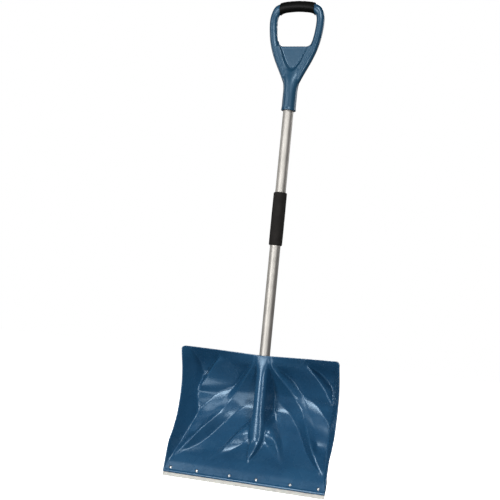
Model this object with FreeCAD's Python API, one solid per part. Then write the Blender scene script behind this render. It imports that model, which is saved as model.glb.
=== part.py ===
import FreeCAD, Part
import math
import os

# Snow shovel, millimetres. +Z runs up the shaft, -Y is the open (scooping) side, +X is the user's left to
# right across the blade. The finished part's origin is the middle of the scraping edge, on the end face of
# the wear strip. While it is drawn, depth is measured from the shaft's axis and height from EDGE_DROP above
# the scraping edge; make_parts moves everything into the finished place.

# Blade
BLADE_HALF_WIDTH_LOW = 227.5
BLADE_HALF_WIDTH_TOP = 224.5
BLADE_TOP = 345.0
BLADE_TOP_DIP = 6.0
BLADE_LIP = 8.0
WALL = 3.0
TOP_CORNER_RADIUS = 9.0
LIP_DEPTH = -84.5
LIP_SLOPE = 0.45
LIP_FLAT_TOP = 34.0
LIP_LEVELS = 4
BACK_BLEND_TOP = 50.0
LEVELS_ABOVE_LIP = 23
LINE_GAP = 1.2
RIB_FADE = 10.0
STEEPEST_SIDE = 1.9
LIP_THROUGH = WALL * math.sqrt(1 + LIP_SLOPE ** 2)
BEAD_TOP = 15.0
BEAD_RISE = 1.3
EDGE_DROP = 3.0

# Shaft and the housing that the blade grows round it
TUBE_RADIUS = 14.3
TUBE_WALL = 1.4
TUBE_FOOT = 172.0
TUBE_TOP = 1072.0
TUBE_CLEARANCE = 0.4
HOUSING_RADIUS = TUBE_RADIUS + TUBE_CLEARANCE + WALL
HOUSING_POINT = 52.0
HOUSING_START = 60.0
HOUSING_ROUND = 118.0
NOSE_FLATNESS = 0.45
SHOULDER_DEPTH = -4.0
SHOULDER_LEVELS = (106.0, 120.0, 160.0, 192.0)
SOCKET_LOW = 222.0
SOCKET_HIGH = 342.0
SOCKET_BACK = 19.5
SOCKET_RADIUS = TUBE_RADIUS + 1.7
SOCKET_CORNER = 4.0

# Wear strip and its rivets
STRIP_THICK = 1.8
STRIP_GAP = 0.05
STRIP_TOP = 28.0
STRIP_THROUGH = STRIP_THICK * math.sqrt(1 + LIP_SLOPE ** 2)
RIVET_PLACES = (-208.5, -132.0, -38.0, 38.0, 132.0, 208.5)
RIVET_LEVEL = 20.0
RIVET_SHANK_RADIUS = 2.4
RIVET_HEAD_RADIUS = 4.6
RIVET_HEAD_HEIGHT = 2.2
RIVET_TAIL_RADIUS = 4.2
RIVET_TAIL_HEIGHT = 1.6
STRIP_FOOT = LIP_DEPTH - EDGE_DROP * LIP_SLOPE + LIP_THROUGH + STRIP_GAP
SHAFT_SETBACK = -(STRIP_FOOT + STRIP_THROUGH / 2)

# Foam grip on the shaft
FOAM_RADIUS = 18.1
FOAM_LOW = 638.0
FOAM_HIGH = 783.0
FOAM_ROUND = 3.5

# D-grip
GRIP_LOW = 1008.0
NECK_RADIUS = 19.4
NECK_TOP = 1058.0
NECK_RIM = 1.5
NECK_FLARE = 0.9
NECK_FLARE_HEIGHT = 9.0
ARM_RADIUS = 10.9
ARM_SPREAD = 67.5
BAR_LEVEL = 1300.0
BAR_END_LEVEL = 1296.0
BAR_CORE_RADIUS = 12.6
BAR_SHOULDER_RADIUS = 14.4
LOOP_SECTIONS = 48
SLEEVE_HALF_LENGTH = 50.0
SLEEVE_RADIUS = 15.0
WEB_FRONT = -0.5
WEB_THICK = 5.0
WEB_TOP = 1188.0
CRUTCH_HALF_DEPTH = 9.6
RECESS_REACH = 14.0
OPENING_CORNER = 15.0
HAND_GAP_HALF_WIDTH = 44.5
HAND_GAP_SPREAD = 17.0
HAND_GAP_HEIGHT = 60.0
HAND_GAP_HALF_DEPTH = 20.0

# Cross screws through the two sockets and the tube
SCREW_RADIUS = 2.4
SCREW_HEAD_RADIUS = 4.6
SCREW_HEAD_HEIGHT = 2.8
BLADE_SCREW_LEVEL = 280.0
GRIP_SCREW_LEVEL = 1042.0
SCREW_REACH = 10.0
SCREW_RIM = 1.2
SCREW_SLOT_WIDTH = 1.1
SCREW_SLOT_DEPTH = 1.5
SCREW_SLOT_SHARE = 0.55

V = FreeCAD.Vector


# ---------------------------------------------------------------------------------------------------------
# Small helpers
# ---------------------------------------------------------------------------------------------------------

def through(points):
    """A smooth function of height through (height, value) points, with no overshoot between them."""
    heights = [p[0] for p in points]
    values = [p[1] for p in points]
    steps = [b - a for a, b in zip(heights, heights[1:])]
    slopes = [(b - a) / s for a, b, s in zip(values, values[1:], steps)]
    tangents = [slopes[0]]
    for before, after in zip(slopes, slopes[1:]):
        same_way = before * after > 0
        tangents.append(2 * before * after / (before + after) if same_way else 0.0)
    tangents.append(slopes[-1])

    def value(z):
        z = min(max(z, heights[0]), heights[-1])
        i = 0
        while i < len(steps) - 1 and z > heights[i + 1]:
            i += 1
        t = (z - heights[i]) / steps[i]
        rise = values[i + 1] - values[i]
        start = tangents[i] * steps[i]
        end = tangents[i + 1] * steps[i]
        square = 3 * rise - 2 * start - end
        cube = start + end - 2 * rise
        return values[i] + t * start + t ** 2 * square + t ** 3 * cube

    return value


def ramp(z, low, high):
    """0 below low, 1 above high, and a smooth step between them."""
    t = min(max((z - low) / (high - low), 0.0), 1.0)
    return t * t * (3 - 2 * t)


def mirrored(points):
    return [V(-p.x, p.y, p.z) for p in points]


# ---------------------------------------------------------------------------------------------------------
# Blade: lines that run up the moulding
# ---------------------------------------------------------------------------------------------------------
# At every height the right half of the blade's front is a chain of straight facets between these lines. The
# depth Y is taken from the shaft's axis, positive away from the user. Each line has its route, the distance
# from the centre against height, and its depth against height, and stands clear of its neighbours only
# between its own two heights.

scoop_depth = through([
    (0, LIP_DEPTH), (LIP_FLAT_TOP, LIP_DEPTH + LIP_SLOPE * LIP_FLAT_TOP), (39, -66.7), (46, -61.4),
    (60, -49.4), (80, -25), (105, -2), (140, 23), (170, 42), (200, 52), (235, 49), (255, 42), (275, 29),
    (300, 9), (325, -13), (345, -18.6)])
side_edge_depth = through([
    (0, -84), (40, -77.5), (80, -71), (120, -49), (160, -34.5), (200, -28), (240, -25.5), (280, -31),
    (320, -43), (345, -50)])
housing_nose = through([
    (52, -57), (61, -51.5), (73, -46), (88, -36), (100, -27), (112, -19.5), (120, -HOUSING_RADIUS),
    (345, -HOUSING_RADIUS)])
housing_edge_depth = through([
    (52, -56), (61, -50), (73, -43.5), (88, -33), (100, -22), (110, -12), (121, -5.5), (160, -5), (190, 0),
    (345, 0)])
housing_half_width = through([
    (0, 1.5), (58, 2.5), (73, 6.5), (88, 11), (110, 15.5), (123, 19.5), (150, 20), (190, 18.8), (240, 18.3),
    (300, HOUSING_RADIUS), (345, HOUSING_RADIUS)])


def scoop(z):
    """Depth of the plain scoop, flat for the wear strip low down and curling forward at the top."""
    if z <= LIP_FLAT_TOP:
        return LIP_DEPTH + LIP_SLOPE * z
    return scoop_depth(z)


def on_shoulder(z, depth):
    """The scoop's depth, brought forward to the given depth where the short rib joins the housing."""
    start, full, leave, end = SHOULDER_LEVELS
    share = ramp(z, start, full) * (1 - ramp(z, leave, end))
    return scoop(z) + share * (depth - scoop(z))


def housing_foot_depth(z):
    """Depth where the housing's side meets the scoop or the shoulder."""
    return on_shoulder(z, SHOULDER_DEPTH)


def lower_edge_depth(z):
    """Depth of the short rib's lower edge, on the scoop until it climbs to the shoulder."""
    return on_shoulder(z, SHOULDER_DEPTH + 1)


def housing_front(z):
    """Depth of the housing's foremost line, which runs out to a point on the scoop."""
    return min(scoop(z), housing_nose(z)) if z > HOUSING_POINT else scoop(z)


RIB_LINES = [
    # low, high, route (height, distance), depth (height, depth), or a function of height instead
    # short rib: lower edge, crest and back foot
    (46, BLADE_TOP, [(0, 116), (46, 103), (61, 79), (73, 67), (86, 53), (96, 42.5), (107, 33), (122, 23.5),
                     (160, 22.5), (345, 19)], lower_edge_depth),
    (46, 190, [(0, 118), (48, 105), (65, 93), (82, 81), (116, 60), (140, 45.5), (158, 34), (180, 26.5),
               (345, 20)],
     [(46, -57), (65, -43.5), (82, -31.5), (98, -22.5), (116, -13.5), (134, -1.5), (145, 10), (158, 22),
      (190, 46)]),
    (46, 190, [(0, 122), (48, 110), (65, 103), (96, 83), (116, 72), (140, 56), (158, 44), (180, 31),
               (345, 22)], scoop),
    # long rib: lower foot, crest and back foot
    (46, 235, [(0, 214), (50, 205), (66, 184), (83, 161), (105, 140), (140, 115), (160, 99), (180, 81),
               (200, 62), (215, 44), (232, 26), (345, 23)], scoop),
    (46, 343, [(0, 216), (50, 207), (85, 184), (119, 162), (144, 145), (169, 128), (192, 115), (209, 104),
               (229, 90), (264, 67), (295, 43.5), (323, 27), (345, 25)],
     [(46, -58), (85, -46), (119, -29), (144, -7), (169, 18), (192, 34), (209, 39.5), (229, 39), (264, 22),
      (295, 0), (323, -13), (345, -19)]),
    (105, 343, [(0, 218), (50, 210), (85, 192), (119, 174), (144, 160), (161, 150.5), (179, 141), (204, 126),
                (223, 115), (254, 95), (275, 80), (297, 59), (323, 33), (345, 28)],
     [(105, -18), (140, 3), (161, 21), (179, 31), (204, 41), (223, 46.5), (254, 51), (275, 45), (297, 29),
      (323, -8), (345, -19.5)]),
    # outer panel: the line where it leaves the long rib, then the outer rib's crest and back foot
    (162, 342, [(0, 220), (50, 212), (100, 205), (150, 198), (179, 186), (198, 168), (214, 154), (228, 139),
                (248, 106), (267, 90), (283, 83), (302, 88), (322, 103), (335, 121), (345, 128)],
     [(162, 31), (179, 35), (198, 41), (214, 44), (228, 46), (248, 47), (267, 43), (283, 33), (302, 15),
      (322, -5), (335, -15), (345, -22)]),
    (222, 338, [(0, 222), (50, 214), (150, 200), (224, 193.5), (243, 185), (258, 176), (282, 161), (306, 143),
                (331, 126), (345, 131)],
     [(222, 29), (243, 21), (258, 20), (282, 13), (306, 0), (331, -10), (345, -23)]),
    (262, 338, [(0, 224), (50, 216), (150, 202), (224, 195.5), (267, 186.5), (278, 179), (299, 164),
                (331, 133), (345, 134)],
     [(262, 42), (278, 43), (299, 33), (315, 18), (331, -3), (345, -23)]),
    # foot of the side wing
    (0, BLADE_TOP, [(0, 226), (22, 223.5), (54, 215.5), (84, 209), (125, 200), (166, 193), (187, 194),
                     (224, 197.5), (266, 190), (304, 194), (337, 204), (345, 207)],
     [(LIP_FLAT_TOP, LIP_DEPTH + LIP_SLOPE * LIP_FLAT_TOP), (39, -66.7), (46, -61), (60, -48.4), (84, -26),
      (125, 3), (166, 29), (187, 30), (214, 27), (240, 31), (266, 40), (304, 23), (325, -3), (345, -31)]),
]


def side_half_width(z):
    return BLADE_HALF_WIDTH_LOW + (BLADE_HALF_WIDTH_TOP - BLADE_HALF_WIDTH_LOW) * min(z / 200.0, 1.0)


ROUTES = [(low, high, through(route), depth if callable(depth) else through(depth))
          for low, high, route, depth in RIB_LINES]
FIRST_RIB_LINE = 3


def housing_side_depth(z):
    """Depth at which the housing's front, flat on the nose and round above, turns into its side wall."""
    halfway = NOSE_FLATNESS * housing_front(z) + (1 - NOSE_FLATNESS) * scoop(z)
    return max(housing_front(z), min(housing_edge_depth(z), halfway))


def line_places(z):
    """Distances of all the lines from the centre at one height, kept in order and LINE_GAP apart."""
    width = housing_half_width(z)
    places = [0.0, width, width + LINE_GAP]
    places += [route(z) for _, _, route, _ in ROUTES]
    places.append(side_half_width(z))
    for i in range(len(places) - 2, 0, -1):
        places[i] = min(places[i], places[i + 1] - LINE_GAP)
    for i in range(1, len(places)):
        places[i] = max(places[i], places[i - 1] + LINE_GAP)
    return places


def line_weight(z, low, high):
    """How far a line stands out from the flat facet around it: 1 along its length, 0 past its ends."""
    weight = ramp(z, low, low + RIB_FADE)
    if high < BLADE_TOP:
        weight *= 1 - ramp(z, high - RIB_FADE, high)
    return weight


def half_section(z):
    """The right half's corner points (distance, depth) at one height, from the centre to the side edge."""
    places = line_places(z)
    if z <= BLADE_LIP:
        return [(x, scoop(z)) for x in places]
    depths = [housing_front(z), housing_side_depth(z), housing_foot_depth(z)] + [None] * len(ROUTES)
    depths.append(side_edge_depth(z))
    weights = [line_weight(z, low, high) for low, high, _, _ in ROUTES]
    own_depths = [depth(z) if z > LIP_FLAT_TOP else scoop(z) for _, _, _, depth in ROUTES]
    last = len(places) - 1
    for k in range(len(ROUTES)):
        # a line with no weight lies on the straight facet between the nearest lines that have some
        i = FIRST_RIB_LINE + k
        before = i - 1
        after = i + 1
        while after < last and weights[after - FIRST_RIB_LINE] < 0.5:
            after += 1
        after_depth = depths[after] if after == last else own_depths[after - FIRST_RIB_LINE]
        share = (places[i] - places[before]) / (places[after] - places[before])
        flush = depths[before] + share * (after_depth - depths[before])
        depths[i] = flush + weights[k] * (own_depths[k] - flush)
    return list(zip(places, depths))


def top_at(x):
    """Height of the top edge, which dips a little towards the shaft."""
    return BLADE_TOP - BLADE_TOP_DIP * (1 - min(abs(x) / BLADE_HALF_WIDTH_TOP, 1.0)) ** 1.5


def dipped(x, z):
    """The true height of a point on level z: levels follow the dipping top edge more and more closely."""
    if z <= LIP_FLAT_TOP:
        return z
    return LIP_FLAT_TOP + (z - LIP_FLAT_TOP) * (top_at(x) - LIP_FLAT_TOP) / (BLADE_TOP - LIP_FLAT_TOP)


def level_heights():
    """Heights of the sections: close together on the flat lip, evenly spaced above it."""
    lip = [BLADE_LIP + (LIP_FLAT_TOP - BLADE_LIP) * i / LIP_LEVELS for i in range(LIP_LEVELS)]
    rise = (BLADE_TOP - LIP_FLAT_TOP) / LEVELS_ABOVE_LIP
    return lip + [LIP_FLAT_TOP + rise * i for i in range(LEVELS_ABOVE_LIP + 1)]


def side_slope(section, i):
    """The steeper of the two facets at a rib line, which sets how much deeper the back has to lie."""
    x, y = section[i]
    near = [section[j] for j in (i - 1, i + 1) if FIRST_RIB_LINE <= j < len(section)]
    return min(max(abs((b - y) / (a - x)) for a, b in near), STEEPEST_SIDE)


def blade_lines():
    """Front and back points of every line, from the centre outwards, bottom to top."""
    count = len(ROUTES) + FIRST_RIB_LINE + 1
    front = [[] for _ in range(count)]
    back = [[] for _ in range(count)]
    for z in level_heights():
        section = half_section(z)
        lean = scoop(z + 0.5) - scoop(z - 0.5)
        flat_back = scoop(z) + LIP_THROUGH
        for i, (x, y) in enumerate(section):
            height = dipped(x, z)
            steep = side_slope(section, i) if i >= FIRST_RIB_LINE else 0.0
            thick = WALL * math.sqrt(1 + lean * lean + steep * steep)
            back_depth = flat_back + ramp(z, LIP_FLAT_TOP, BACK_BLEND_TOP) * (y + thick - flat_back)
            front[i].append(V(x, y, height))
            back[i].append(V(x, back_depth, height))
        # inside the housing the wall follows the tube's bore instead
        if z > HOUSING_START:
            width = section[1][0]
            inner = max(width - WALL, 0.4 * width)
            back[0][-1].y = section[0][1] + WALL * (1.0 if z > HOUSING_ROUND else 1.3)
            back[1][-1] = V(inner, max(section[1][1], back[0][-1].y + 0.4), front[1][-1].z)
            back[2][-1].x = inner + 0.6
            back[2][-1].y = max(back[2][-1].y, back[1][-1].y + 0.5)
    return front, back


def spline(points):
    """The cubic through the points, with the same knots for every line so that facets share their edges."""
    curve = Part.BSplineCurve()
    curve.interpolate(Points=points, Parameters=[z / BLADE_TOP for z in level_heights()])
    return curve


def facet(low, high, corner=None):
    """The sheet between two lines: straight across, or a quarter ellipse through a corner line."""
    curves = [low, high] if corner is None else [low, corner, high]
    poles = [curve.getPoles() for curve in curves]
    knots = low.getKnots()
    mults = low.getMultiplicities()
    degree = len(curves) - 1
    weights = [[1.0] * len(poles[0]) for _ in curves]
    if corner is not None:
        weights[1] = [math.sqrt(0.5)] * len(poles[0])
    sheet = Part.BSplineSurface()
    sheet.buildFromPolesMultsKnots(poles, [degree + 1, degree + 1], mults, [0.0, 1.0], knots, False, False,
                                   degree, low.Degree, weights)
    return sheet.toShape()


def sheets(lines):
    """All the facets of one side of the blade, left and right."""
    made = []
    for flip in (False, True):
        curves = [spline(mirrored(line) if flip else line) for line in lines]
        corner = [V(side.x - 0.3 * max(0.0, 3 - side.y + front.y), front.y, side.z)
                  for front, side in zip(lines[0], lines[1])]
        corner = spline(mirrored(corner) if flip else corner)
        made.append(facet(curves[0], curves[1], corner))
        for low, high in zip(curves[1:], curves[2:]):
            made.append(facet(low, high))
    return made


def edges_at_end(faces, at_top):
    """Boundary edges of the sheets that lie on the lip or on the top edge."""
    found = []
    for face in faces:
        ordered = sorted(face.Edges, key=lambda e: e.CenterOfMass.z)
        found.append(ordered[-1] if at_top else ordered[0])
    return found


def blade_shell():
    front, back = blade_lines()
    front_faces = sheets(front)
    back_faces = sheets(back)
    faces = front_faces + back_faces
    for at_top in (False, True):
        for a, b in zip(edges_at_end(front_faces, at_top), edges_at_end(back_faces, at_top)):
            faces.append(Part.makeRuledSurface(a, b))
    for flip in (False, True):
        a = spline(mirrored(front[-1]) if flip else front[-1])
        b = spline(mirrored(back[-1]) if flip else back[-1])
        faces.append(facet(a, b))
    shell = Part.makeShell(faces)
    shell.sewShape()
    solid = Part.makeSolid(shell)
    if solid.Volume < 0:
        solid.reverse()
    return solid


def top_corner_cutter(side):
    """What rounding takes off one top corner of the blade."""
    r = TOP_CORNER_RADIUS
    x = BLADE_HALF_WIDTH_TOP
    block = Part.makeBox(r + 5, 60, r + 5, V(x - r, -80, BLADE_TOP - r))
    rod = Part.makeCylinder(r, 80, V(x - r, -90, BLADE_TOP - r), V(0, 1, 0))
    cutter = block.cut(rod)
    if side < 0:
        cutter = cutter.mirror(V(0, 0, 0), V(1, 0, 0))
    return cutter


def socket_block():
    """The moulded saddle behind the shaft that turns the housing into a closed socket."""
    half = SOCKET_RADIUS - 0.2
    height = SOCKET_HIGH - SOCKET_LOW
    block = Part.makeBox(2 * half, SOCKET_BACK, height, V(-half, 0, SOCKET_LOW))
    rear = [e for e in block.Edges if abs(e.CenterOfMass.y - SOCKET_BACK) < 0.1
            and abs(abs(e.CenterOfMass.x) - half) < 0.1]
    block = block.makeFillet(SOCKET_CORNER, rear)
    ring = Part.makeCylinder(SOCKET_RADIUS, height, V(0, 0, SOCKET_LOW))
    return block.fuse(ring).cut(tube_bore(SOCKET_LOW - 1, SOCKET_HIGH + 1))


def tube_bore(low, high):
    return Part.makeCylinder(TUBE_RADIUS, high - low, V(0, 0, low))


LIP_NORMAL = V(0, -1, LIP_SLOPE)
LIP_NORMAL.normalize()


def on_lip(x, z):
    """A point on the flat front face behind the scraping edge."""
    return V(x, scoop(z), z)


def rivet_hole(x):
    start = on_lip(x, RIVET_LEVEL) + LIP_NORMAL * 10
    return Part.makeCylinder(RIVET_SHANK_RADIUS, 30, start, LIP_NORMAL * -1)


def cross_hole(level, reach):
    return Part.makeCylinder(SCREW_RADIUS, reach, V(0, reach, level), V(0, -1, 0))


def lip_bead():
    """A shallow rounded bead along the front of the lip's edge."""
    foot = on_lip(0, BLADE_LIP) - LIP_NORMAL * 0.5
    head = on_lip(0, BEAD_TOP) - LIP_NORMAL * 0.5
    crown = on_lip(0, (BLADE_LIP + BEAD_TOP) / 2) + LIP_NORMAL * BEAD_RISE
    wire = Part.Wire([Part.Arc(foot, crown, head).toShape(), Part.makeLine(head, foot)])
    length = 2 * BLADE_HALF_WIDTH_LOW - 1
    bead = Part.Face(wire).extrude(V(length, 0, 0))
    bead.translate(V(-length / 2, 0, 0))
    return bead


def make_blade():
    solid = blade_shell()
    solid = solid.fuse(lip_bead())
    solid = solid.fuse(socket_block())
    for side in (-1, 1):
        solid = solid.cut(top_corner_cutter(side))
    for x in RIVET_PLACES:
        solid = solid.cut(rivet_hole(x))
    return solid.cut(cross_hole(BLADE_SCREW_LEVEL, SOCKET_BACK + 5))


# ---------------------------------------------------------------------------------------------------------
# Wear strip and rivets
# ---------------------------------------------------------------------------------------------------------

def make_strip():
    """A flat strip against the back of the lip, with its working end standing below the moulding."""
    head = STRIP_FOOT + LIP_SLOPE * (STRIP_TOP + EDGE_DROP)
    outline = Part.makePolygon([V(0, STRIP_FOOT, -EDGE_DROP), V(0, STRIP_FOOT + STRIP_THROUGH, -EDGE_DROP),
                                V(0, head + STRIP_THROUGH, STRIP_TOP), V(0, head, STRIP_TOP),
                                V(0, STRIP_FOOT, -EDGE_DROP)])
    length = 2 * BLADE_HALF_WIDTH_LOW
    strip = Part.Face(outline).extrude(V(length, 0, 0))
    strip.translate(V(-length / 2, 0, 0))
    for x in RIVET_PLACES:
        strip = strip.cut(rivet_hole(x))
    return strip


def make_rivet(x):
    """Domed head on the open side, shank, and the tail that is clinched over the strip."""
    face = on_lip(x, RIVET_LEVEL)
    tail_face = face - LIP_NORMAL * (WALL + STRIP_GAP + STRIP_THICK)
    grip = face.distanceToPoint(tail_face)
    shank = Part.makeCylinder(RIVET_SHANK_RADIUS, grip + 1, face + LIP_NORMAL * 0.5, LIP_NORMAL * -1)
    ball_radius = (RIVET_HEAD_RADIUS ** 2 + RIVET_HEAD_HEIGHT ** 2) / (2 * RIVET_HEAD_HEIGHT)
    ball = Part.makeSphere(ball_radius, face - LIP_NORMAL * (ball_radius - RIVET_HEAD_HEIGHT))
    dome = ball.common(Part.makeCylinder(RIVET_HEAD_RADIUS + 1, 10, face, LIP_NORMAL))
    tail = Part.makeCone(RIVET_TAIL_RADIUS, RIVET_TAIL_RADIUS * 0.8, RIVET_TAIL_HEIGHT, tail_face,
                         LIP_NORMAL * -1)
    return shank.fuse(dome).fuse(tail)


# ---------------------------------------------------------------------------------------------------------
# Shaft, foam grip and screws
# ---------------------------------------------------------------------------------------------------------

def make_tube():
    tube = tube_bore(TUBE_FOOT, TUBE_TOP)
    inside = Part.makeCylinder(TUBE_RADIUS - TUBE_WALL, TUBE_TOP - TUBE_FOOT, V(0, 0, TUBE_FOOT))
    tube = tube.cut(inside)
    for level in (BLADE_SCREW_LEVEL, GRIP_SCREW_LEVEL):
        tube = tube.cut(cross_hole(level, TUBE_RADIUS + 5))
    return tube


def make_foam():
    foam = Part.makeCylinder(FOAM_RADIUS, FOAM_HIGH - FOAM_LOW, V(0, 0, FOAM_LOW))
    rims = [e for e in foam.Edges if len(e.Vertexes) == 1]
    foam = foam.makeFillet(FOAM_ROUND, rims)
    return foam.cut(tube_bore(FOAM_LOW - 1, FOAM_HIGH + 1))


def make_screw(level, seat):
    """A pan-head screw from behind: its head bears on the socket and its end passes the tube's wall."""
    shank = Part.makeCylinder(SCREW_RADIUS, seat - SCREW_REACH, V(0, seat, level), V(0, -1, 0))
    head = Part.makeCylinder(SCREW_HEAD_RADIUS, SCREW_HEAD_HEIGHT, V(0, seat, level), V(0, 1, 0))
    rim = [e for e in head.Edges if abs(e.CenterOfMass.y - seat - SCREW_HEAD_HEIGHT) < 0.01]
    head = head.makeFillet(SCREW_RIM, rim)
    arm = SCREW_HEAD_RADIUS * SCREW_SLOT_SHARE
    floor = seat + SCREW_HEAD_HEIGHT - SCREW_SLOT_DEPTH
    for angle in (0, 90):
        slot = Part.makeBox(2 * arm, 2 * SCREW_SLOT_DEPTH, SCREW_SLOT_WIDTH,
                            V(-arm, floor, level - SCREW_SLOT_WIDTH / 2))
        slot.rotate(V(0, 0, level), V(0, 1, 0), angle)
        head = head.cut(slot)
    return shank.fuse(head)


# ---------------------------------------------------------------------------------------------------------
# D-grip
# ---------------------------------------------------------------------------------------------------------

def grip_route():
    """Half of the loop's centre line, from the crown of the neck round to the middle of the bar."""
    return [V(9, 0, 1080), V(28, 0, 1121), V(48.5, 0, 1163), V(61.5, 0, 1203), V(ARM_SPREAD, 0, 1245),
            V(ARM_SPREAD - 1, 0, 1271), V(58, 0, 1288), V(42, 0, BAR_END_LEVEL), V(20, 0, BAR_LEVEL - 1)]


def loop_curve():
    right = grip_route()
    points = right + [V(0, 0, BAR_LEVEL)] + mirrored(right)[::-1]
    curve = Part.BSplineCurve()
    curve.interpolate(Points=points)
    return curve


def loop_radius(place):
    """The loop is slim at the arms, swells to meet the sleeve, and is slimmer again inside it."""
    if place.z < BAR_END_LEVEL - 2 * SLEEVE_RADIUS:
        return ARM_RADIUS
    if abs(place.x) < SLEEVE_HALF_LENGTH - 2:
        return BAR_CORE_RADIUS
    past = (abs(place.x) - SLEEVE_HALF_LENGTH) / (ARM_SPREAD - SLEEVE_HALF_LENGTH)
    return BAR_SHOULDER_RADIUS - (BAR_SHOULDER_RADIUS - ARM_RADIUS) * ramp(past, 0.0, 1.0)


def tube_along(curve, radius_at, sections):
    """A solid of round sections whose radius follows the place along a curve in the XZ plane."""
    wires = []
    for i in range(sections + 1):
        parameter = curve.FirstParameter + (curve.LastParameter - curve.FirstParameter) * i / sections
        place = curve.value(parameter)
        ring = Part.Circle(V(0, 0, 0), V(0, 0, 1), radius_at(place)).toShape()
        ahead = V(*curve.tangent(parameter)[0])
        ring.Placement = FreeCAD.Placement(place, FreeCAD.Rotation(V(0, 1, 0), V(0, 0, 0), ahead, "ZXY"))
        wires.append(Part.Wire(ring))
    return Part.makeLoft(wires, True, False)


def oval(half_width, half_depth, z):
    """A closed oval section in the plane at height z."""
    if half_width > half_depth:
        ellipse = Part.Ellipse(V(0, 0, z), half_width, half_depth)
        return Part.Wire(ellipse.toShape())
    return Part.Wire(Part.Circle(V(0, 0, z), V(0, 0, 1), half_width).toShape())


def make_neck():
    """The round socket and the throat that flattens into the two arms."""
    flare = Part.makeCone(NECK_RADIUS + NECK_FLARE, NECK_RADIUS, NECK_FLARE_HEIGHT, V(0, 0, GRIP_LOW))
    low_rim = [e for e in flare.Edges if len(e.Vertexes) == 1 and abs(e.CenterOfMass.z - GRIP_LOW) < 0.01]
    flare = flare.makeFillet(NECK_RIM, low_rim)
    tube_low = GRIP_LOW + NECK_FLARE_HEIGHT
    tube = flare.fuse(Part.makeCylinder(NECK_RADIUS, NECK_TOP - tube_low, V(0, 0, tube_low)))
    sections = [(NECK_RADIUS, NECK_RADIUS, NECK_TOP), (NECK_RADIUS + 0.5, NECK_RADIUS - 0.5, 1070),
                (22.5, 18.0, 1085), (29.0, 14.6, 1104), (37.0, 11.6, 1121)]
    throat = Part.makeLoft([oval(*s) for s in sections], True, False)
    return tube.fuse(throat)


def make_crutch():
    """The thick filling between the lower arms, up to the bottom of the hand opening."""
    edge = [V(26, 0, 1116), V(48.5, 0, 1163), V(56, 0, WEB_TOP)]
    corners = edge + mirrored(edge)[::-1] + [edge[0]]
    slab = Part.Face(Part.makePolygon(corners)).extrude(V(0, 2 * CRUTCH_HALF_DEPTH, 0))
    slab.translate(V(0, -CRUTCH_HALF_DEPTH, 0))
    return slab


def recess_outline(points, depth):
    """A round-bottomed V at one depth, given its right half from the top down to the middle."""
    right = [V(x, depth, z) for x, z in points]
    curve = Part.BSplineCurve()
    curve.interpolate(Points=right + mirrored(right[:-1])[::-1])
    lid = Part.makeLine(mirrored(right)[0], right[0])
    return Part.Wire([curve.toShape(), lid])


def web_recess(face_depth, outside):
    """What is taken out in front of or behind the web: a V with sloping sides, wider at the outside."""
    at_web = [(44, WEB_TOP + 3), (23.7, 1155), (11, 1134.5), (0, 1126)]
    at_face = [(47, WEB_TOP + 3), (33, 1155), (18, 1124), (0, 1113)]
    wires = [recess_outline(at_web, face_depth), recess_outline(at_face, outside)]
    return Part.makeLoft(wires, True, True)


def hand_gap():
    """The bottom of the hand opening, cut through the filling with two round corners."""
    low = HAND_GAP_HALF_WIDTH
    high = low + HAND_GAP_SPREAD
    top = WEB_TOP + HAND_GAP_HEIGHT
    corners = [V(-low, 0, WEB_TOP), V(low, 0, WEB_TOP), V(high, 0, top), V(-high, 0, top),
               V(-low, 0, WEB_TOP)]
    gap = Part.Face(Part.makePolygon(corners)).extrude(V(0, 2 * HAND_GAP_HALF_DEPTH, 0))
    gap.translate(V(0, -HAND_GAP_HALF_DEPTH, 0))
    rims = [e for e in gap.Edges if abs(e.CenterOfMass.z - WEB_TOP) < 0.1
            and abs(abs(e.CenterOfMass.x) - low) < 0.1]
    return gap.makeFillet(OPENING_CORNER, rims)


def make_web():
    """The thin panel in the V between the arms, with its top corners swept up into them."""
    edge = [V(22, 0, 1110), V(48.5, 0, 1163), V(62, 0, WEB_TOP + OPENING_CORNER)]
    corners = edge + mirrored(edge)[::-1] + [edge[0]]
    plate = Part.Face(Part.makePolygon(corners)).extrude(V(0, WEB_THICK, 0))
    plate.translate(V(0, WEB_FRONT, 0))
    return plate.cut(hand_gap())


def make_grip():
    body = make_neck().fuse(make_crutch())
    body = body.cut(web_recess(WEB_FRONT, -RECESS_REACH))
    body = body.cut(web_recess(WEB_FRONT + WEB_THICK, RECESS_REACH))
    body = body.fuse(tube_along(loop_curve(), loop_radius, LOOP_SECTIONS))
    body = body.fuse(make_web())
    body = body.cut(tube_bore(GRIP_LOW - 1, TUBE_TOP))
    return body.cut(cross_hole(GRIP_SCREW_LEVEL, NECK_RADIUS + 5))


def make_sleeve(grip):
    """The soft sleeve over the middle of the bar, with its two ends cut square."""
    body = tube_along(loop_curve(), lambda place: SLEEVE_RADIUS, LOOP_SECTIONS)
    length = Part.makeBox(2 * SLEEVE_HALF_LENGTH, 60, 60, V(-SLEEVE_HALF_LENGTH, -30, BAR_LEVEL - 40))
    return body.common(length).cut(grip)


# ---------------------------------------------------------------------------------------------------------
# The whole shovel
# ---------------------------------------------------------------------------------------------------------

def make_parts():
    grip = make_grip()
    parts = {
        "blade": make_blade(),
        "wear_strip": make_strip(),
        "shaft_tube": make_tube(),
        "foam_grip": make_foam(),
        "d_grip": grip,
        "d_grip_sleeve": make_sleeve(grip),
        "blade_screw": make_screw(BLADE_SCREW_LEVEL, SOCKET_BACK),
        "grip_screw": make_screw(GRIP_SCREW_LEVEL, NECK_RADIUS),
    }
    for number, x in enumerate(RIVET_PLACES, 1):
        parts[f"wear_strip_rivet_{number}"] = make_rivet(x)
    for shape in parts.values():
        shape.translate(V(0, SHAFT_SETBACK, EDGE_DROP))
    return parts


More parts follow.
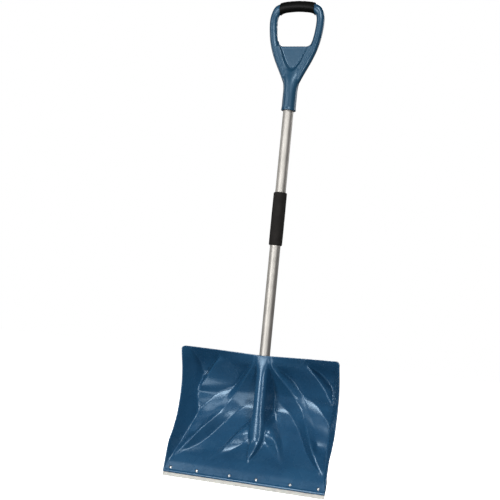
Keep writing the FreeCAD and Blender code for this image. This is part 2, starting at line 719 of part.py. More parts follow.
def main():
    os.makedirs("parts", exist_ok=True)
    for name, shape in make_parts().items():
        box = shape.BoundBox
        size = f"{box.XLength:.1f} x {box.YLength:.1f} x {box.ZLength:.1f} mm"
        print(f"{name:22s} {len(shape.Solids)} solid, valid {shape.isValid()}, {shape.Volume:.0f} mm3, {size}")
        shape.exportStep(f"parts/{name}.step")


main()
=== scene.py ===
# %% [markdown]
# # A snow shovel, dressed for its picture
#
# The engineering model already fixes every size and place. This notebook loads it, rebuilds the pieces that
# need a finer surface, gives each one its real finish, and lights the result. All lengths are in metres.

# %% Load the frame
import math

import bmesh
import bpy
import numpy as np
from mathutils import Matrix, Vector
from mathutils.bvhtree import BVHTree
from mathutils.noise import noise


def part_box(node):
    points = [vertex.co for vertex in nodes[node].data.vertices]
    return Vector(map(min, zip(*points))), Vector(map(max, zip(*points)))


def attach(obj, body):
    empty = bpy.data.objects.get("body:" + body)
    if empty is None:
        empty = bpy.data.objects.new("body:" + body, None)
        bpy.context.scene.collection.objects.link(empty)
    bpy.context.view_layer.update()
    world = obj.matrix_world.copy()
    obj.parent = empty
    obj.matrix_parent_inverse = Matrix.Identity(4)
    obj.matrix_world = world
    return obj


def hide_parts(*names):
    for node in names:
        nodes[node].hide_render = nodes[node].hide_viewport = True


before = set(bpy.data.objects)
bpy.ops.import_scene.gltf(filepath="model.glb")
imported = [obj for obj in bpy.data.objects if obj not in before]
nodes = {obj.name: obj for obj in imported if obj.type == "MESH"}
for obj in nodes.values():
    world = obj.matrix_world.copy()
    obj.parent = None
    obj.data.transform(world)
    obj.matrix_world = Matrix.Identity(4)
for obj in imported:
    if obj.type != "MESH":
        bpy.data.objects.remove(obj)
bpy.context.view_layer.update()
print("nodes:", ", ".join(sorted(nodes)))

# %% [markdown]
# ## Two measures and a few helpers
#
# Millimetres are how a maker thinks about a shovel, so `MM` turns them into metres. The shaft's axis is the
# line that everything is turned about; its place comes from the tube itself.

# %% Measures
MM = 0.001
tube_low, tube_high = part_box("shaft_tube")
AXIS_Y = (tube_low.y + tube_high.y) / 2
TUBE_RADIUS = (tube_high.x - tube_low.x) / 2
print(f"shaft axis at y = {AXIS_Y / MM:.1f} mm, tube radius {TUBE_RADIUS / MM:.2f} mm")


# %% Making mesh objects
def mesh_object(name, points, faces, smooth=True):
    """A new object from points and faces, with normals facing out."""
    mesh = bpy.data.meshes.new(name)
    mesh.from_pydata([tuple(p) for p in points], [], faces)
    made = bmesh.new()
    made.from_mesh(mesh)
    bmesh.ops.recalc_face_normals(made, faces=made.faces)
    made.to_mesh(mesh)
    made.free()
    for polygon in mesh.polygons:
        polygon.use_smooth = smooth
    piece = bpy.data.objects.new(name, mesh)
    bpy.context.scene.collection.objects.link(piece)
    return piece


def stands_for(piece, node, material):
    """Rides the piece on the one body, in place of a CAD node, in its own finish."""
    piece.data.materials.clear()
    piece.data.materials.append(material)
    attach(piece, "root")
    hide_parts(node)
    print(f"{piece.name}: {len(piece.data.vertices)} points, {len(piece.data.polygons)} faces")
    return piece


def turned(profile, segments=96):
    """Points and faces of a closed profile of (radius, height) turned about the Z axis."""
    points = []
    faces = []
    count = len(profile)
    for i in range(segments):
        angle = 2 * math.pi * i / segments
        for radius, height in profile:
            points.append(Vector((radius * math.cos(angle), radius * math.sin(angle), height)))
    for i in range(segments):
        j = (i + 1) % segments
        for k in range(count):
            m = (k + 1) % count
            faces.append((i * count + k, j * count + k, j * count + m, i * count + m))
    return points, faces


def arc(centre, radius, start, end, steps):
    """Points on a circle in the (radius, height) plane between two angles in degrees."""
    angles = [math.radians(start + (end - start) * i / steps) for i in range(steps + 1)]
    return [(centre[0] + radius * math.cos(a), centre[1] + radius * math.sin(a)) for a in angles]


# %% [markdown]
# ## Finishes
#
# Every colour is picked as an sRGB hex value, the way a colour card gives it, and one function turns it into
# the linear numbers that the renderer needs. One more small function adds a shader node with its settings and
# links, so that each material reads as a short list.

# %% Colour and node helpers
def colour(hex_value):
    """Linear RGBA from an sRGB hex string."""
    channels = [int(hex_value[i:i + 2], 16) / 255 for i in (1, 3, 5)]
    linear = [c / 12.92 if c <= 0.04045 else ((c + 0.055) / 1.055) ** 2.4 for c in channels]
    return (*linear, 1.0)


def add(tree, kind, settings=None, **links):
    """One shader node. Settings are its own fields; links are sockets, given a value or another socket."""
    made = tree.nodes.new(kind)
    for field, value in (settings or {}).items():
        setattr(made, field, value)
    for name, value in links.items():
        socket = made.inputs[int(name[1:])] if name[0] == "_" else made.inputs[name.replace("_", " ")]
        if isinstance(value, bpy.types.NodeSocket):
            tree.links.new(value, socket)
        else:
            socket.default_value = value
    return made


def finish(name):
    """An empty material, its tree, its shader and the object's own coordinates."""
    material = bpy.data.materials.new(name)
    material.use_nodes = True
    tree = material.node_tree
    shader = tree.nodes["Principled BSDF"]
    place = tree.nodes.new("ShaderNodeTexCoord").outputs["Object"]
    return material, tree, shader, place


def blend_stops(ramp, stops):
    """Sets a colour ramp's stops from (position, hex colour) pairs."""
    while len(ramp.color_ramp.elements) > 1:
        ramp.color_ramp.elements.remove(ramp.color_ramp.elements[-1])
    ramp.color_ramp.elements[0].position = stops[0][0]
    ramp.color_ramp.elements[0].color = colour(stops[0][1])
    for position, hex_value in stops[1:]:
        ramp.color_ramp.elements.new(position).color = colour(hex_value)


# %% [markdown]
# ### Steel-blue polypropylene
#
# The blade and the D-grip are injection-moulded polypropylene, coloured right through. The mould is polished,
# so the skin is satin with soft highlights, but it keeps a faint waviness where the plastic shrank, with
# waves 25 mm apart. The skin's own grain is about 0.15 mm, too fine to show, so it is drawn at 1.2 mm, which
# gives the same slightly broken highlight. The highlights are tinted a little blue by choice, since light
# that scatters back from just under the skin takes on the plastic's colour.

# %% Polypropylene
def polypropylene(name, body_hex, worn_hex, rough):
    """Satin moulded plastic in two close shades, about as rough as the number given."""
    material, tree, shader, place = finish(name)
    wave = add(tree, "ShaderNodeTexNoise", Vector=place, Scale=1 / (25 * MM), Detail=2.0, Roughness=0.5)
    grain = add(tree, "ShaderNodeTexNoise", Vector=place, Scale=1 / (1.2 * MM), Detail=1.0, Roughness=0.5)
    flow = add(tree, "ShaderNodeTexNoise", Vector=place, Scale=1 / (70 * MM), Detail=3.0, Roughness=0.6)
    tint = tree.nodes.new("ShaderNodeValToRGB")
    blend_stops(tint, [(0.3, body_hex), (0.75, worn_hex)])
    tree.links.new(flow.outputs["Fac"], tint.inputs["Fac"])
    tree.links.new(tint.outputs["Color"], shader.inputs["Base Color"])
    dull = add(tree, "ShaderNodeMapRange", Value=wave.outputs["Fac"], From_Min=0.3, From_Max=0.7,
               To_Min=rough - 0.03, To_Max=rough + 0.04)
    tree.links.new(dull.outputs["Result"], shader.inputs["Roughness"])
    ripple = add(tree, "ShaderNodeBump", Height=wave.outputs["Fac"], Strength=0.2, Distance=0.25 * MM)
    skin = add(tree, "ShaderNodeBump", Height=grain.outputs["Fac"], Strength=0.1, Distance=0.01 * MM,
               Normal=ripple.outputs["Normal"])
    tree.links.new(skin.outputs["Normal"], shader.inputs["Normal"])
    shader.inputs["IOR"].default_value = 1.58
    shader.inputs["Specular Tint"].default_value = (0.62, 0.83, 1.0, 1.0)
    return material


blade_plastic = polypropylene("steel_blue_polypropylene", "#173a56", "#1b415e", 0.27)
# The D-grip's copy is the same plastic in a darker colour than the blade's. This is painted shade for the
# front light that falls full on the grip.
shaded_grip_plastic = polypropylene("shaded_steel_blue_grip_polypropylene", "#14344a", "#183b52", 0.34)
print("polypropylene finishes:", blade_plastic.name, shaded_grip_plastic.name)

# %% [markdown]
# ### Satin anodised aluminium
#
# The shaft is drawn tube, lightly brushed along its length by the draw and then clear anodised. That gives a
# broad soft highlight and fine lines along the tube. Real draw lines are some 0.05 mm apart. Here they are
# 0.6 mm apart round the tube and 60 mm long, so that they show.

# %% Anodised aluminium
def anodised_tube(name):
    """Aluminium with faint lines along Z."""
    material, tree, shader, place = finish(name)
    across, along = 0.6 * MM, 60 * MM
    stretch = add(tree, "ShaderNodeMapping", Vector=place, Scale=(1 / across, 1 / across, 1 / along))
    lines = add(tree, "ShaderNodeTexNoise", Vector=stretch.outputs["Vector"], Scale=1.0, Detail=3.0)
    cloud = add(tree, "ShaderNodeTexNoise", Vector=place, Scale=1 / (45 * MM), Detail=2.0)
    tint = tree.nodes.new("ShaderNodeValToRGB")
    blend_stops(tint, [(0.35, "#a3a09b"), (0.7, "#aeaba6")])
    tree.links.new(cloud.outputs["Fac"], tint.inputs["Fac"])
    tree.links.new(tint.outputs["Color"], shader.inputs["Base Color"])
    dull = add(tree, "ShaderNodeMapRange", Value=lines.outputs["Fac"], From_Min=0.3, From_Max=0.7,
               To_Min=0.5, To_Max=0.6)
    tree.links.new(dull.outputs["Result"], shader.inputs["Roughness"])
    groove = add(tree, "ShaderNodeBump", Height=lines.outputs["Fac"], Strength=0.1, Distance=0.03 * MM)
    tree.links.new(groove.outputs["Normal"], shader.inputs["Normal"])
    shader.inputs["Metallic"].default_value = 1.0
    return material


shaft_metal = anodised_tube("satin_anodised_aluminium")
print("shaft finish:", shaft_metal.name)

# %% [markdown]
# ### Galvanised steel and zinc plate
#
# The strip is galvanised sheet: pale, with soft crystal patches about 9 mm across and fine scratches. Rivets
# and screws are zinc plated, which is smoother, with patches of only 3 mm.

# %% Galvanised steel
def galvanised(name, pale_hex, dark_hex, patch, rough):
    """Zinc in two shades, in crystal patches of the size given, with fine scratches."""
    material, tree, shader, place = finish(name)
    crystal = add(tree, "ShaderNodeTexVoronoi", Vector=place, Scale=1 / patch)
    tint = tree.nodes.new("ShaderNodeValToRGB")
    blend_stops(tint, [(0.1, dark_hex), (0.9, pale_hex)])
    tree.links.new(crystal.outputs["Color"], tint.inputs["Fac"])
    tree.links.new(tint.outputs["Color"], shader.inputs["Base Color"])
    across, along = 1.5 * MM, 14 * MM
    stretch = add(tree, "ShaderNodeMapping", Vector=place, Scale=(1 / across, 1 / across, 1 / along))
    scratch = add(tree, "ShaderNodeTexNoise", Vector=stretch.outputs["Vector"], Scale=1.0, Detail=4.0)
    dull = add(tree, "ShaderNodeMapRange", Value=scratch.outputs["Fac"], From_Min=0.35, From_Max=0.65,
               To_Min=rough, To_Max=rough + 0.15)
    tree.links.new(dull.outputs["Result"], shader.inputs["Roughness"])
    bump = add(tree, "ShaderNodeBump", Height=scratch.outputs["Fac"], Strength=0.15, Distance=0.05 * MM)
    tree.links.new(bump.outputs["Normal"], shader.inputs["Normal"])
    shader.inputs["Metallic"].default_value = 1.0
    return material


strip_metal = galvanised("galvanised_strip", "#b2b1ab", "#a3a39f", 9 * MM, 0.4)
rivet_metal = galvanised("zinc_plated_rivet", "#a9acae", "#989b9e", 3 * MM, 0.25)
screw_metal = galvanised("zinc_plated_screw", "#cfcfcc", "#bfc0c0", 3 * MM, 0.3)
print("metal finishes:", strip_metal.name, rivet_metal.name, screw_metal.name)

# %% [markdown]
# ### Foam rubber and moulded rubber
#
# The shaft's grip is closed-cell foam with cells about 0.4 mm across, drawn at 1.6 mm so that the skin reads
# as foam. The sleeve on the D-grip is solid moulded rubber with a light spark-eroded grain. Both are matt
# enough to need less mirror light than plastic, which is what `shine` turns down.

# %% Rubber
def rubber(name, hex_value, pale_hex, cell, rough, depth, shine):
    """Rubber with cells of one size and depth, and paler dusty patches."""
    material, tree, shader, place = finish(name)
    cells = add(tree, "ShaderNodeTexVoronoi", {"feature": "F1"}, Vector=place, Scale=1 / cell)
    dust = add(tree, "ShaderNodeTexNoise", Vector=place, Scale=1 / (18 * MM), Detail=4.0, Roughness=0.6)
    tint = tree.nodes.new("ShaderNodeValToRGB")
    blend_stops(tint, [(0.35, hex_value), (0.75, pale_hex)])
    tree.links.new(dust.outputs["Fac"], tint.inputs["Fac"])
    tree.links.new(tint.outputs["Color"], shader.inputs["Base Color"])
    bump = add(tree, "ShaderNodeBump", Height=cells.outputs["Distance"], Strength=0.35, Distance=depth)
    tree.links.new(bump.outputs["Normal"], shader.inputs["Normal"])
    shader.inputs["Roughness"].default_value = rough
    shader.inputs["IOR"].default_value = 1.52
    shader.inputs["Specular IOR Level"].default_value = shine
    return material


foam = rubber("closed_cell_foam", "#131110", "#1b1917", 1.6 * MM, 0.8, 0.2 * MM, 0.15)
grip_rubber = rubber("moulded_rubber", "#040504", "#090908", 0.9 * MM, 0.45, 0.05 * MM, 0.08)
print("rubber finishes:", foam.name, grip_rubber.name)

# %% [markdown]
# ## The blade
#
# The real blade is one moulding about 3 mm thick. Its engineering solid has knife-sharp creases, and a mould
# never does: the cutter leaves a small radius. So the surface is laid out again as a fine sheet. A ray is
# sent into the solid from the front and one from the back at every point of a 2 mm grid, and what they hit is
# the sheet's two sides. Averaging each depth with its neighbours a few times then rounds every crease to
# about the radius that a real mould has, and a row of extra points gives the rim its round edge.

# %% Sample the blade's two sides
STEP = 2 * MM
CORNER = 9 * MM
ROUNDINGS = 2
LIP_ROWS = 16
LIP_STEP = 1 * MM
OUTLINE_HEIGHTS = 24
OUTLINE_REACH = 12 * MM
HALVINGS = 16
COLLAR_SHARE = 0.12
SIDE_INSET = 0.1 * MM
END_INSET = 0.02 * MM
STEP_IN = 0.002
FARTHEST_IN = 0.9
RIM_STEPS = 4
RIM_BULGE = 0.7 * MM

blade_low, blade_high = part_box("blade")
blade_mesh = nodes["blade"].data
blade_tree = BVHTree.FromPolygons([v.co.copy() for v in blade_mesh.vertices],
                                  [tuple(p.vertices) for p in blade_mesh.polygons])


def outline():
    """Half width against height, and the top edge's height against distance, read off the solid."""
    points = np.array([tuple(v.co) for v in blade_mesh.vertices])
    heights = np.linspace(blade_low.z, blade_high.z - CORNER, OUTLINE_HEIGHTS)
    widths = []
    for height in heights:
        near = points[np.abs(points[:, 2] - height) < OUTLINE_REACH]
        widths.append(np.abs(near[:, 0]).max())
    return heights, np.array(widths)


edge_heights, edge_widths = outline()
edge_fit = np.polyfit(edge_heights, edge_widths, 3)
print(f"half width {edge_widths[0] / MM:.1f} mm low, {edge_widths[-1] / MM:.1f} mm high")


def depth_at(x, z, side):
    """Depth where a ray from the front (side -1) or the back (side 1) meets the solid, or None."""
    start = Vector((x, side * 1.0, z))
    hit = blade_tree.ray_cast(start, Vector((0, -side, 0)))
    return hit[0].y if hit[0] is not None else None


def top_edge(x):
    """Height of the top edge at a distance from the centre, by halving the gap between a hit and a miss."""
    low = blade_high.z - 20 * MM
    high = blade_high.z + 1 * MM
    for _ in range(HALVINGS):
        middle = (low + high) / 2
        if depth_at(x, middle, -1) is None:
            high = middle
        else:
            low = middle
    return low


COLUMNS = int(2 * edge_widths[0] / STEP)
tall = blade_high.z - blade_low.z
lip_top = LIP_ROWS * LIP_STEP
lip_rows = np.arange(LIP_ROWS) * LIP_STEP
row_shares = np.concatenate([lip_rows, np.linspace(lip_top, tall, int(tall / STEP))]) / tall
ROWS = len(row_shares) - 1
column_shares = np.linspace(-1, 1, COLUMNS + 1)
middle_tops = np.array([top_edge(s * (edge_widths[-1] - 2 * CORNER)) for s in column_shares])
# the collar round the tube stands above the edge, so the edge's own line is fitted past it
beyond = np.abs(column_shares) > COLLAR_SHARE
top_fit = np.polyfit(np.abs(column_shares[beyond]), middle_tops[beyond], 2)
print(f"grid of {COLUMNS} by {ROWS}, top edge from {np.polyval(top_fit, 0) / MM:.1f} mm at the shaft")


def grid_place(column, row):
    """Distance and height of a grid point, with the two top corners drawn in to a quarter circle."""
    share = column_shares[column]
    top = np.polyval(top_fit, abs(share))
    z = blade_low.z + END_INSET + (top - blade_low.z - 2 * END_INSET) * row_shares[row]
    half = np.polyval(edge_fit, min(z, edge_heights[-1])) - SIDE_INSET
    x = share * half
    past_x = abs(x) - (half - CORNER)
    past_z = z - (top - CORNER)
    if past_x > 0 and past_z > 0:
        pull = max(past_x, past_z) / math.hypot(past_x, past_z)
        x = math.copysign(half - CORNER + past_x * pull, x)
        z = top - CORNER + past_z * pull
    return x, z


def sampled(side):
    """A grid of points on one side of the blade. A ray that misses the rim is tried a little farther in."""
    grid = np.zeros((COLUMNS + 1, ROWS + 1, 3))
    for i in range(COLUMNS + 1):
        for j in range(ROWS + 1):
            x, z = grid_place(i, j)
            inset = 1.0
            y = None
            while y is None and inset > FARTHEST_IN:
                y = depth_at(x * inset, min(z, blade_low.z + (z - blade_low.z) * inset), side)
                inset -= STEP_IN
            grid[i, j] = (x, y if y is not None else grid[i, j - 1, 1], z)
    return grid


def softened(grid, times):
    """Each depth averaged with its four neighbours, which rounds a crease and leaves a flat alone."""
    for _ in range(times):
        y = grid[:, :, 1]
        middle = y[1:-1, LIP_ROWS:-1]
        beside = y[:-2, LIP_ROWS:-1] + y[2:, LIP_ROWS:-1]
        above_and_below = y[1:-1, LIP_ROWS - 1:-2] + y[1:-1, LIP_ROWS + 1:]
        inner = y.copy()
        inner[1:-1, LIP_ROWS:-1] = 0.5 * middle + 0.125 * (beside + above_and_below)
        grid[:, :, 1] = inner
    return grid


blade_front = softened(sampled(-1), ROUNDINGS)
blade_back = softened(sampled(1), ROUNDINGS)
through = (blade_back - blade_front)[3 * COLUMNS // 4, ROWS // 2, 1]
print(f"wall, front to back, at the middle of the right half: {through / MM:.1f} mm")


# %% Join the two sides with a rounded rim
def blade_piece():
    """The two sampled sides as one closed sheet, with a bulging strip of faces round the rim."""
    wide, high = COLUMNS + 1, ROWS + 1
    points = [tuple(p) for grid in (blade_front, blade_back) for p in grid.reshape(-1, 3)]
    offset = wide * high

    def at(i, j, side):
        return side * offset + i * high + j

    faces = []
    for side in (0, 1):
        for i in range(COLUMNS):
            for j in range(ROWS):
                faces.append((at(i, j, side), at(i + 1, j, side), at(i + 1, j + 1, side), at(i, j + 1, side)))
    border = [(i, 0) for i in range(wide)] + [(COLUMNS, j) for j in range(1, high)]
    border += [(i, ROWS) for i in range(COLUMNS - 1, -1, -1)] + [(0, j) for j in range(ROWS - 1, 0, -1)]
    loops = []
    for index, (i, j) in enumerate(border):
        a = Vector(points[at(i, j, 0)])
        b = Vector(points[at(i, j, 1)])
        before = Vector(points[at(*border[index - 1], 0)])
        after = Vector(points[at(*border[(index + 1) % len(border)], 0)])
        along = after - before
        out = Vector((along.z, 0, -along.x)).normalized()
        loop = [at(i, j, 0)]
        for k in range(1, RIM_STEPS):
            t = k / RIM_STEPS
            points.append(tuple(a.lerp(b, t) + out * RIM_BULGE * math.sin(math.pi * t)))
            loop.append(len(points) - 1)
        loop.append(at(i, j, 1))
        loops.append(loop)
    for index, loop in enumerate(loops):
        other = loops[(index + 1) % len(loops)]
        for k in range(RIM_STEPS):
            faces.append((loop[k], other[k], other[k + 1], loop[k + 1]))
    return mesh_object("ribbed_blade", points, faces)


blade = stands_for(blade_piece(), "blade", blade_plastic)

# %% [markdown]
# ## Wear strip, rivets and screws
#
# The strip is cut from flat sheet with a guillotine, so its edges are nearly square with a slight burr: a
# 0.3 mm bevel on the engineering shape is enough. A rivet is a turned shape, a low dome on the front and a
# flattened tail behind, so each is a profile turned about its own axis. The screws keep their CAD shape.

# %% Wear strip
STRIP_BEVEL = 0.3 * MM
LONG_EDGE = 100 * MM
FLAT_ANGLE = math.radians(1)
SHARP_ANGLE = math.radians(40)
WELD = 0.01 * MM


def strip_piece():
    """The CAD strip with its flat facets merged and its long edges bevelled."""
    source = nodes["wear_strip"].data
    piece = mesh_object("wear_edge_strip", [v.co for v in source.vertices],
                        [tuple(p.vertices) for p in source.polygons], smooth=False)
    trimmer = bmesh.new()
    trimmer.from_mesh(piece.data)
    bmesh.ops.remove_doubles(trimmer, verts=trimmer.verts, dist=WELD)
    bmesh.ops.dissolve_limit(trimmer, angle_limit=FLAT_ANGLE, verts=trimmer.verts, edges=trimmer.edges)
    sharp = [e for e in trimmer.edges if len(e.link_faces) == 2 and e.calc_face_angle(0) > SHARP_ANGLE
             and e.calc_length() > LONG_EDGE]
    bmesh.ops.bevel(trimmer, geom=sharp, offset=STRIP_BEVEL, segments=2, affect="EDGES", profile=0.5)
    trimmer.to_mesh(piece.data)
    trimmer.free()
    return piece


strip = stands_for(strip_piece(), "wear_strip", strip_metal)


# %% Rivets
LIP_SLOPE = 0.45


def rivet_profile():
    """Tail, shank and domed head as (radius, height) along the rivet's axis, 0 where the head seats."""
    head, tail, shank = 4.6 * MM, 4.2 * MM, 2.4 * MM
    rise, grip, drop = 2.2 * MM, 4.85 * MM, 1.6 * MM
    ball = (head ** 2 + rise ** 2) / (2 * rise)
    half_angle = math.degrees(math.asin(head / ball))
    dome = arc((0, rise - ball), ball, 90 - half_angle, 89.5, 10)
    return ([(0.01 * MM, rise)] + dome[::-1] + [(head, -0.15 * MM), (shank, -0.15 * MM), (shank, -grip),
            (tail, -grip), (tail * 0.9, -grip - drop * 0.8), (tail * 0.75, -grip - drop),
            (0.01 * MM, -grip - drop)])


def rivet_piece(name, node):
    """A rivet square to the sloping lip, centred where the CAD rivet is."""
    low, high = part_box(node)
    lean = math.atan(LIP_SLOPE)
    points, faces = turned(rivet_profile(), 32)
    tilt = Matrix.Rotation(math.pi / 2 - lean, 4, "X")
    points = [tilt @ p for p in points]
    shift = (low + high) / 2 - (Vector(map(min, *points)) + Vector(map(max, *points))) / 2
    return mesh_object(name, [p + shift for p in points], faces)


for number in range(1, 7):
    node = f"wear_strip_rivet_{number}"
    stands_for(rivet_piece(f"strip_rivet_{number}", node), node, rivet_metal)

# %% Screws keep their CAD shape
for node in ("blade_screw", "grip_screw"):
    nodes[node].data.materials.clear()
    nodes[node].data.materials.append(screw_metal)
print("screws finished in", screw_metal.name)

# %% [markdown]
# ## Shaft and foam grip
#
# Both are turned shapes. The tube is sawn and deburred at its ends. The foam sleeve is stretched on over the
# tube, so it grips it tightly and bulges very slightly between its ends.

# %% Shaft
def tube_piece():
    """The tube as a turned ring with its two outer corners taken off."""
    wall, soft = 1.4 * MM, 0.3 * MM
    low, high = tube_low.z, tube_high.z
    outer, inner = TUBE_RADIUS, TUBE_RADIUS - wall
    profile = [(outer - soft, low), (outer, low + soft)]
    rings = 24
    profile += [(outer, low + (high - low) * i / rings) for i in range(1, rings)]
    profile += [(outer, high - soft), (outer - soft, high), (inner, high), (inner, low)]
    points, faces = turned(profile, 128)
    return mesh_object("shaft", [p + Vector((0, AXIS_Y, 0)) for p in points], faces)


shaft = stands_for(tube_piece(), "shaft_tube", shaft_metal)


# %% Foam grip
def foam_piece():
    """The foam sleeve: rolled ends, a slight swell between them and shallow dimples outside."""
    low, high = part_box("foam_grip")
    radius = (high.x - low.x) / 2
    bore = TUBE_RADIUS + 0.05 * MM
    roll, bulge, dent, dent_size = 3.5 * MM, 0.25 * MM, 0.12 * MM, 14 * MM
    outside = arc((radius - roll, low.z + roll), roll, -90, 0, 8)
    rings = 36
    for i in range(1, rings):
        t = i / rings
        swell = bulge * math.sin(math.pi * t)
        outside.append((radius + swell, low.z + roll + (high.z - low.z - 2 * roll) * t))
    outside += arc((radius - roll, high.z - roll), roll, 0, 90, 8)
    profile = outside + [(bore, high.z), (bore, low.z)]
    points, faces = turned(profile, 96)
    placed = []
    for p in points:
        around = Vector((p.x, p.y, 0)).normalized()
        dimple = dent * noise(Vector((p.x, p.y, p.z)) / dent_size)
        outer = p.xy.length > TUBE_RADIUS + 1 * MM
        placed.append(p + (around * dimple if outer else Vector()) + Vector((0, AXIS_Y, 0)))
    return mesh_object("foam_sleeve", placed, faces)


foam_grip = stands_for(foam_piece(), "foam_grip", foam)

# %% [markdown]
# ## D-grip
#
# On the real grip the arms, neck and web flow into each other with generous radii, which is hard to get from
# joined solids. Here the engineering shape is copied, re-skinned with a fine even mesh, and relaxed: the
# seams between arms, neck and web melt into fillets. The relaxing is done in pairs of steps, one in and one
# out, so that the arms keep their thickness.

# %% D-grip body
INWARD = 0.55
OUTWARD = -0.57


def reskinned(node, name, voxel, relaxings):
    """A copy of a CAD node with a new even skin, relaxed a number of times."""
    source = nodes[node].data
    piece = mesh_object(name, [v.co for v in source.vertices], [tuple(p.vertices) for p in source.polygons])
    welder = bmesh.new()
    welder.from_mesh(piece.data)
    bmesh.ops.remove_doubles(welder, verts=welder.verts, dist=WELD)
    welder.to_mesh(piece.data)
    welder.free()
    remesh = piece.modifiers.new("skin", "REMESH")
    remesh.mode = "VOXEL"
    remesh.voxel_size = voxel
    depsgraph = bpy.context.evaluated_depsgraph_get()
    skinned = bpy.data.meshes.new_from_object(piece.evaluated_get(depsgraph))
    piece.modifiers.clear()
    piece.data = skinned
    relax(piece.data, relaxings)
    for polygon in piece.data.polygons:
        polygon.use_smooth = True
    return piece


def relax(mesh, times):
    """Moves every point towards the mean of its neighbours and then slightly farther back."""
    count = len(mesh.vertices)
    places = np.zeros(count * 3)
    mesh.vertices.foreach_get("co", places)
    places = places.reshape(-1, 3)
    ends = np.zeros(len(mesh.edges) * 2, dtype=np.int64)
    mesh.edges.foreach_get("vertices", ends)
    a, b = ends.reshape(-1, 2).T
    degree = np.bincount(a, minlength=count) + np.bincount(b, minlength=count)
    for _ in range(times):
        for strength in (INWARD, OUTWARD):
            total = np.zeros_like(places)
            for axis in range(3):
                total[:, axis] = (np.bincount(a, places[b, axis], minlength=count)
                                  + np.bincount(b, places[a, axis], minlength=count))
            mean = total / np.maximum(degree, 1)[:, None]
            places += strength * (mean - places)
    mesh.vertices.foreach_set("co", places.ravel())
    mesh.update()


d_grip = stands_for(reskinned("d_grip", "d_grip_body", 1.2 * MM, 110), "d_grip", shaded_grip_plastic)


# %% Rubber sleeve
sleeve = stands_for(reskinned("d_grip_sleeve", "bar_sleeve", 0.9 * MM, 16), "d_grip_sleeve",
                    grip_rubber)

# %% [markdown]
# ## Floor, light and camera
#
# The shovel stands on a white light table in front of a white wall. Neither is allowed to show in the glossy
# plastic, so the blade stays dark except where it mirrors one of eight soft boxes, as in a product studio.
# In front there is a tall one a little to the left, a narrow one to the right, a broad one high on the right,
# a small one high on the left, and a wide low one for the glow of the table. Three more stand behind and
# beside the shovel, so that its back can be seen as well.

# %% Stage
FLOOR_DROP = 0.2 * MM
SKY_STRENGTH = 0.07


def stage_floor():
    """A plain pale floor that isn't mirrored in the plastic and casts no shadow."""
    half = 14.0
    points = [(-half, -half, 0), (half, -half, 0), (half, half, 0), (-half, half, 0)]
    floor = mesh_object("floor", [Vector(p) - Vector((0, 0, FLOOR_DROP)) for p in points], [(0, 1, 2, 3)])
    material, _, shader, _ = finish("light_table")
    shader.inputs["Base Color"].default_value = colour("#f2f2f2")
    shader.inputs["Roughness"].default_value = 0.9
    shader.inputs["Emission Color"].default_value = (1, 1, 1, 1)
    shader.inputs["Emission Strength"].default_value = 1.0
    floor.data.materials.append(material)
    floor.visible_glossy = False
    floor.visible_diffuse = False
    floor.visible_shadow = False
    return floor


print("floor:", stage_floor().name)


def sky():
    """White where the camera looks past the floor, dim grey for everything that lights the shovel."""
    world = bpy.data.worlds.new("studio")
    bpy.context.scene.world = world
    world.use_nodes = True
    tree = world.node_tree
    tree.nodes.clear()
    path = tree.nodes.new("ShaderNodeLightPath")
    white = add(tree, "ShaderNodeBackground", Color=(1, 1, 1, 1), Strength=1.0)
    dim = add(tree, "ShaderNodeBackground", Color=(1, 1, 1, 1), Strength=SKY_STRENGTH)
    mix = add(tree, "ShaderNodeMixShader", _0=path.outputs["Is Camera Ray"], _1=dim.outputs[0],
              _2=white.outputs[0])
    add(tree, "ShaderNodeOutputWorld", Surface=mix.outputs[0])


sky()

# %% Soft boxes
NEAR = 3.2
FAR = 3.4
LIGHT_TARGET = 0.6


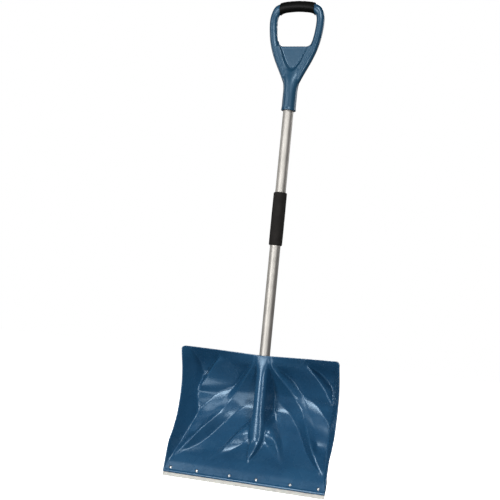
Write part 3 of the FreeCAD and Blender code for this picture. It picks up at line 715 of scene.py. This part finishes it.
def soft_box(name, azimuth, elevation, distance, width, height, power):
    """A rectangular light on a circle round the shovel, facing it. Azimuth 0 is in front, 90 to the right."""
    a, e = math.radians(azimuth), math.radians(elevation)
    back = Vector((math.sin(a) * math.cos(e), -math.cos(a) * math.cos(e), math.sin(e)))
    light = bpy.data.lights.new(name, "AREA")
    light.shape = "RECTANGLE"
    light.size = width
    light.size_y = height
    light.energy = power
    lamp = bpy.data.objects.new(name, light)
    lamp.location = Vector((0, AXIS_Y, LIGHT_TARGET)) + back * distance
    lamp.rotation_mode = "QUATERNION"
    lamp.rotation_quaternion = (-back).to_track_quat("-Z", "Y")
    bpy.context.scene.collection.objects.link(lamp)
    print(f"{name}: {width} by {height} m, {power} W")
    return lamp


soft_box("front_box", -17, 0, NEAR, 0.8, 1.6, 74)
soft_box("side_box", 36, -4, NEAR, 0.4, 1.3, 30)
soft_box("high_box", 24, 42, NEAR, 1.2, 0.8, 72)
soft_box("table_glow", 8, -36, NEAR, 2.0, 0.9, 26)
soft_box("left_box", -44, 24, NEAR, 0.6, 0.9, 14)
soft_box("back_box", 190, 38, FAR, 1.4, 1.2, 70)
soft_box("back_left_box", 262, 10, FAR, 0.5, 1.2, 14)
soft_box("back_right_box", 140, 22, FAR, 0.6, 1.2, 22)


# %% Camera
def camera():
    """A long lens a little to the right of the shovel, low, tilted up and rolled a few degrees."""
    azimuth, pitch, roll, aside = (math.radians(v) for v in (20.777, 4.032, 5.639, -1.244))
    distance, height, lens = 3.08275, 0.40509, 82.24
    back = Vector((math.sin(azimuth), -math.cos(azimuth), 0))
    right = Vector((math.cos(azimuth), math.sin(azimuth), 0))
    up = Vector((0, 0, 1))
    ahead = -back * math.cos(aside) + right * math.sin(aside)
    right = right * math.cos(aside) + back * math.sin(aside)
    look = ahead * math.cos(pitch) + up * math.sin(pitch)
    head = up * math.cos(pitch) - ahead * math.sin(pitch)
    x = right * math.cos(roll) + head * math.sin(roll)
    y = head * math.cos(roll) - right * math.sin(roll)
    data = bpy.data.cameras.new("camera")
    data.lens = lens
    data.sensor_width = 36
    made = bpy.data.objects.new("camera", data)
    turn = Matrix((x, y, -look)).transposed().to_4x4()
    made.matrix_world = Matrix.Translation(back * distance + Vector((0, AXIS_Y, height))) @ turn
    bpy.context.scene.collection.objects.link(made)
    bpy.context.scene.camera = made
    print(f"camera: {lens:.0f} mm lens, {distance:.2f} m away, {height:.2f} m up")
    return made


camera()
bpy.context.scene.view_settings.view_transform = "Standard"

# %% [markdown]
# ## Last update
#
# The view layer is brought up to date once more.

# %% Finish
bpy.context.view_layer.update()
